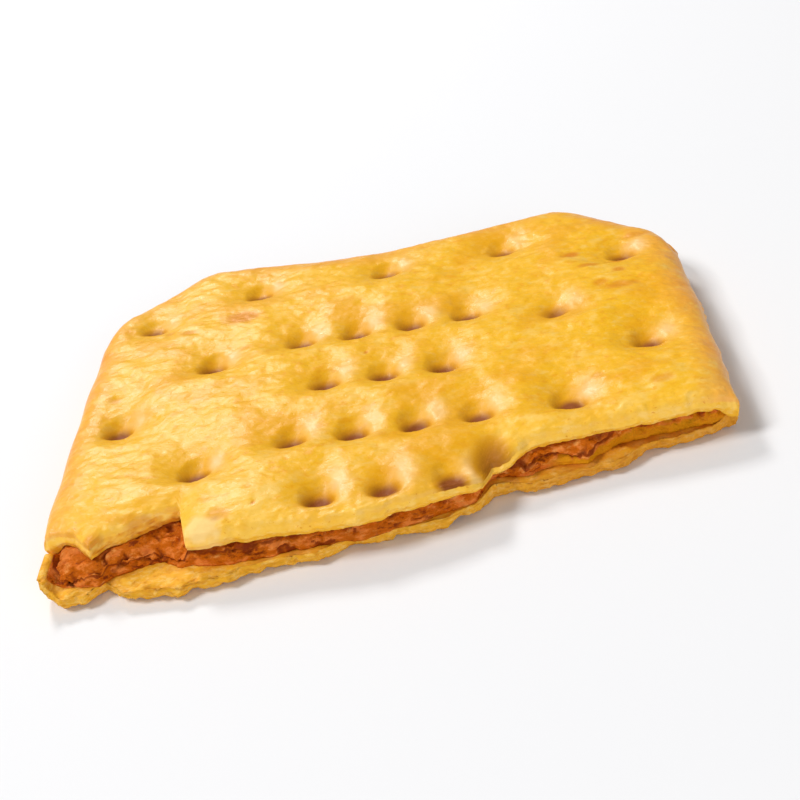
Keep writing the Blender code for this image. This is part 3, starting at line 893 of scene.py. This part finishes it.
class Surface:
    """A Principled material, and short ways to add the nodes that feed it."""

    def __init__(self, name):
        self.material = bpy.data.materials.new(name)
        self.material.use_nodes = True
        self.tree = self.material.node_tree
        self.shader = self.tree.nodes["Principled BSDF"]
        self.place = self.tree.nodes.new("ShaderNodeTexCoord").outputs["Object"]

    def link(self, source, target):
        self.tree.links.new(source, target)

    def layer(self, name):
        """A number that paint() stored on the mesh."""
        node = self.tree.nodes.new("ShaderNodeAttribute")
        node.attribute_name = name
        return node.outputs["Fac"]

    def noise(self, size, detail=3.0, roughness=0.55):
        """Noise from 0 to 1 whose patches are about size millimetres, one number for each axis."""
        mapping = self.tree.nodes.new("ShaderNodeMapping")
        mapping.inputs["Scale"].default_value = [1 / (s * MM) for s in size]
        self.link(self.place, mapping.inputs["Vector"])
        node = self.tree.nodes.new("ShaderNodeTexNoise")
        node.inputs["Scale"].default_value = 1.0
        node.inputs["Detail"].default_value = detail
        node.inputs["Roughness"].default_value = roughness
        self.link(mapping.outputs["Vector"], node.inputs["Vector"])
        return node.outputs["Fac"]

    def cells(self, size):
        """Distance from 0 at the middle of a cell about size millimetres across."""
        node = self.tree.nodes.new("ShaderNodeTexVoronoi")
        node.inputs["Scale"].default_value = 1 / (size * MM)
        self.link(self.place, node.inputs["Vector"])
        return node.outputs["Distance"]

    def spread(self, value, low, high, to_low=0.0, to_high=1.0):
        """Takes the values between low and high to the range from to_low to to_high, smoothly."""
        node = self.tree.nodes.new("ShaderNodeMapRange")
        node.interpolation_type = "SMOOTHSTEP"
        self.link(value, node.inputs["Value"])
        node.inputs["From Min"].default_value = low
        node.inputs["From Max"].default_value = high
        node.inputs["To Min"].default_value = to_low
        node.inputs["To Max"].default_value = to_high
        return node.outputs["Result"]

    def math(self, operation, first, second):
        """A Math node; each of its two values is a number or a socket."""
        node = self.tree.nodes.new("ShaderNodeMath")
        node.operation = operation
        for socket, value in zip(node.inputs, (first, second)):
            if isinstance(value, (int, float)):
                socket.default_value = value
            else:
                self.link(value, socket)
        return node.outputs["Value"]

    def mix(self, first, second, share):
        """A colour between two, each a colour or a socket, by a share that is a socket."""
        node = self.tree.nodes.new("ShaderNodeMix")
        node.data_type = "RGBA"
        self.link(share, node.inputs["Factor"])
        for socket, value in ((node.inputs[6], first), (node.inputs[7], second)):
            if isinstance(value, tuple):
                socket.default_value = (*value, 1.0)
            else:
                self.link(value, socket)
        return node.outputs[2]

    def bump(self, height, distance, strength, below=None):
        """Fine relief, distance millimetres high, laid over the relief below it if one is given."""
        node = self.tree.nodes.new("ShaderNodeBump")
        node.inputs["Distance"].default_value = distance * MM
        node.inputs["Strength"].default_value = strength
        self.link(height, node.inputs["Height"])
        if below is not None:
            self.link(below, node.inputs["Normal"])
        return node.outputs["Normal"]


def dough_material(name, crumb_ochre):
    """Baked skin, and pale crumb where it is torn. crumb_ochre says how much of the crumb is darker."""
    made = Surface(name)
    mottle = made.noise((2.0, 1.3, 1.3), 4.0, 0.6)
    patches = made.noise((6.5, 4.5, 4.5), 2.0)
    fine = made.noise((0.42, 0.24, 0.24), 3.0, 0.6)
    blotches = made.math("ADD", made.spread(mottle, 0.38, 0.70, -0.45, 0.45), made.layer("pale"))
    skin = made.mix(GOLD, CREAM, made.spread(blotches, 0.0, 0.9))
    small = made.noise((1.1, 0.7, 0.7), 3.0, 0.65)
    skin = made.mix(skin, CREAM, made.spread(small, 0.52, 0.70, 0.0, 0.8))
    skin = made.mix(skin, AMBER, made.spread(small, 0.47, 0.30, 0.0, 0.8))
    skin = made.mix(skin, AMBER, made.spread(patches, 0.47, 0.66, 0.0, 0.6))
    skin = made.mix(skin, CREAM, made.spread(fine, 0.52, 0.78, 0.0, 0.35))
    skin = made.mix(skin, AMBER, made.spread(fine, 0.44, 0.25, 0.0, 0.35))
    # Pale lip colours, which along the folds down to the break are a painted highlight
    skin = made.mix(skin, LIP_PALE, made.math("MULTIPLY", made.layer("lip"), 0.7))
    flecks = made.spread(small, 0.50, 0.66, 0.0, 0.8)
    skin = made.mix(skin, CRUMB_PALE, made.math("MULTIPLY", made.layer("lip"), flecks))
    specks = made.spread(made.noise((0.35, 0.25, 0.25), 2.0), 0.66, 0.74, 0.0, 0.8)
    skin = made.mix(skin, TOAST_BROWN, made.math("MULTIPLY", made.layer("lip"), specks))
    rim_share = made.math("MULTIPLY", made.layer("rim"), made.spread(patches, 0.25, 0.65, 0.5, 0.95))
    rim = made.mix(RIM_TAN, RIM_BROWN, made.spread(mottle, 0.45, 0.70, 0.0, 0.7))
    rim = made.mix(rim, CREAM, made.spread(small, 0.50, 0.72, 0.0, 0.6))
    skin = made.mix(skin, rim, rim_share)
    # Ochre in the dishes round the holes: deeper baked colour and painted shade
    skin = made.mix(skin, OCHRE, made.math("MULTIPLY", made.layer("dish"), 0.55))
    # Painted highlight: a cream sheen on the slope behind each hole
    skin = made.mix(skin, SHEEN_CREAM, made.math("MULTIPLY", made.layer("painted_sheen"), 0.65))
    skin = made.mix(skin, TOAST_BROWN, made.layer("toast_and_shadow"))
    # Ochre, then brown, in each hole: browned dough and painted shade
    skin = made.mix(skin, OCHRE, made.spread(made.layer("hole"), 0.0, 0.35))
    skin = made.mix(skin, HOLE_BROWN, made.spread(made.layer("hole"), 0.1, 0.78))
    crumb_noise = made.noise((0.8, 0.4, 0.3), 5.0, 0.7)
    crumb = made.mix(CRUMB_YELLOW, CRUMB_PALE, made.spread(crumb_noise, 0.46, 0.66))
    flakes = made.noise((1.1, 0.7, 0.22), 4.0)
    darker = made.spread(flakes, 0.58 - crumb_ochre, 0.8 - crumb_ochre, 0.0, 0.8)
    crumb = made.mix(crumb, CRUMB_OCHRE, darker)
    crumb = made.mix(crumb, FLAKE_CREAM, made.math("MULTIPLY", made.layer("flake"), 0.85))
    # Stains on the torn crumb, and on the lower sheet's break painted shadow towards the right
    crumb = made.mix(crumb, ORANGE_BROWN, made.math("MULTIPLY", made.layer("toast_and_shadow"), made.layer("crumb")))
    made.link(made.mix(skin, crumb, made.layer("crumb")), made.shader.inputs["Base Color"])
    dull = made.math("MULTIPLY", made.math("MAXIMUM", made.layer("crumb"), made.layer("hole")), 0.3)
    roughness = made.math("ADD", made.spread(fine, 0.2, 0.8, 0.30, 0.44), dull)
    made.link(roughness, made.shader.inputs["Roughness"])
    made.shader.inputs["Specular IOR Level"].default_value = 0.3
    grain = made.bump(made.noise((0.35, 0.18, 0.18), 4.0, 0.6), 0.05, 0.6)
    pores = made.bump(made.spread(made.cells(0.45), 0.0, 0.25), 0.03, 0.35, grain)
    made.link(pores, made.shader.inputs["Normal"])
    return made.material


def filling_material(name):
    """Meat from pink to maroon with flecks of fat, painted shade in its creases and under the upper sheet,
    and dough where it runs thin.
    """
    made = Surface(name)
    tone = made.noise((1.5, 1.0, 0.7), 5.0, 0.7)
    meat = made.mix(MEAT_ORANGE, MEAT_PINK, made.spread(tone, 0.47, 0.60))
    meat = made.mix(meat, MEAT_MAROON, made.spread(tone, 0.45, 0.33, 0.0, 0.9))
    fat = made.spread(made.noise((0.8, 0.6, 0.3), 3.0), 0.56, 0.68, 0.0, 0.75)
    meat = made.mix(meat, MEAT_FAT, made.math("MULTIPLY", fat, made.spread(tone, 0.42, 0.55)))
    # Painted shade in the crevices and under the upper sheet
    meat = made.mix(meat, MEAT_MAROON, made.spread(made.layer("crease"), 0.2, 1.0, 0.0, 0.85))
    dough = made.mix(DOUGH_TAN, CRUMB_OCHRE, made.spread(tone, 0.45, 0.58, 0.0, 0.9))
    dough = made.mix(dough, ORANGE_BROWN, made.spread(tone, 0.44, 0.34, 0.0, 0.7))
    meat = made.mix(meat, dough, made.layer("dough"))
    made.link(meat, made.shader.inputs["Base Color"])
    made.link(made.spread(tone, 0.3, 0.7, 0.45, 0.7), made.shader.inputs["Roughness"])
    made.shader.inputs["Specular IOR Level"].default_value = 0.1
    made.link(made.bump(made.noise((0.4, 0.3, 0.2), 5.0, 0.7), 0.16, 0.8), made.shader.inputs["Normal"])
    return made.material


def dress():
    """Puts the three dressed layers in place of the solids."""
    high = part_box("lower_sheet")[1]
    reach = back_y(np.linspace(-HALF_WIDTH, HALF_WIDTH, 400)).max()
    shift = Matrix.Translation((0.0, high.y - reach * MM, 0.0))
    jobs = (
        (make_upper_sheet, "upper_sheet", "upper_dough", dough_material("upper_dough_skin", 0.0)),
        (make_filling, "filling", "bacon_filling", filling_material("bacon_crumb")),
        (make_lower_sheet, "lower_sheet", "lower_dough", dough_material("lower_dough_skin", 0.1)),
    )
    for make, node, slot, material in jobs:
        piece = make()
        piece.data.transform(shift)
        piece.data.materials.append(material)
        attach(piece, "root")
        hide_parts(node)


def make_floor():
    """A wide matt white floor under the piece."""
    mesh = bpy.data.meshes.new("floor")
    reach = 2.0
    corners = [(-reach, -reach, 0), (reach, -reach, 0), (reach, reach, 0), (-reach, reach, 0)]
    mesh.from_pydata(corners, [], [(0, 1, 2, 3)])
    floor = bpy.data.objects.new("floor", mesh)
    bpy.context.scene.collection.objects.link(floor)
    material = bpy.data.materials.new("floor_white")
    material.use_nodes = True
    shader = material.node_tree.nodes["Principled BSDF"]
    shader.inputs["Base Color"].default_value = (0.85, 0.85, 0.86, 1.0)
    shader.inputs["Roughness"].default_value = 0.9
    shader.inputs["Specular IOR Level"].default_value = 0.1
    mesh.materials.append(material)


def add_light(name, direction, distance, size, watts):
    """A square soft light that looks at the middle of the piece from the given direction."""
    data = bpy.data.lights.new(name, "AREA")
    data.size = size
    data.energy = watts
    light = bpy.data.objects.new(name, data)
    toward = Vector(direction).normalized()
    light.location = toward * distance
    light.rotation_euler = toward.to_track_quat("Z", "Y").to_euler()
    bpy.context.scene.collection.objects.link(light)


def add_camera():
    """The camera, turned about its target and rolled as the photograph's was."""
    data = bpy.data.cameras.new("camera")
    data.lens = CAMERA_LENS
    data.sensor_width = CAMERA_SENSOR
    data.clip_start = 0.005
    camera = bpy.data.objects.new("camera", data)
    azimuth, elevation, roll = (math.radians(a) for a in (CAMERA_AZIMUTH, CAMERA_ELEVATION, CAMERA_ROLL))
    turn = Matrix.Rotation(-azimuth, 4, "Z") @ Matrix.Rotation(math.pi / 2 - elevation, 4, "X")
    turn = turn @ Matrix.Rotation(roll, 4, "Z")
    target = Vector(CAMERA_TARGET) * MM
    away = turn.to_3x3() @ Vector((0, 0, CAMERA_DISTANCE * MM))
    camera.matrix_world = Matrix.Translation(target + away) @ turn
    bpy.context.scene.collection.objects.link(camera)
    bpy.context.scene.camera = camera


def light_the_stage():
    """An even pale world, a key light at the left, a sheen from behind and a soft fill in front."""
    world = bpy.data.worlds.new("studio")
    world.use_nodes = True
    background = world.node_tree.nodes["Background"]
    background.inputs["Color"].default_value = (1.0, 1.0, 1.0, 1.0)
    background.inputs["Strength"].default_value = WORLD_STRENGTH
    bpy.context.scene.world = world
    add_light("key", (-0.60, -0.08, 0.77), distance=0.9, size=0.26, watts=4.7)
    add_light("back_sheen", (-0.33, 0.65, 0.68), distance=0.6, size=0.12, watts=1.7)
    add_light("front_fill", (0.45, -0.86, 0.22), distance=0.6, size=0.5, watts=1.7)
    bpy.context.scene.view_settings.view_transform = "Standard"


dress()
make_floor()
light_the_stage()
add_camera()
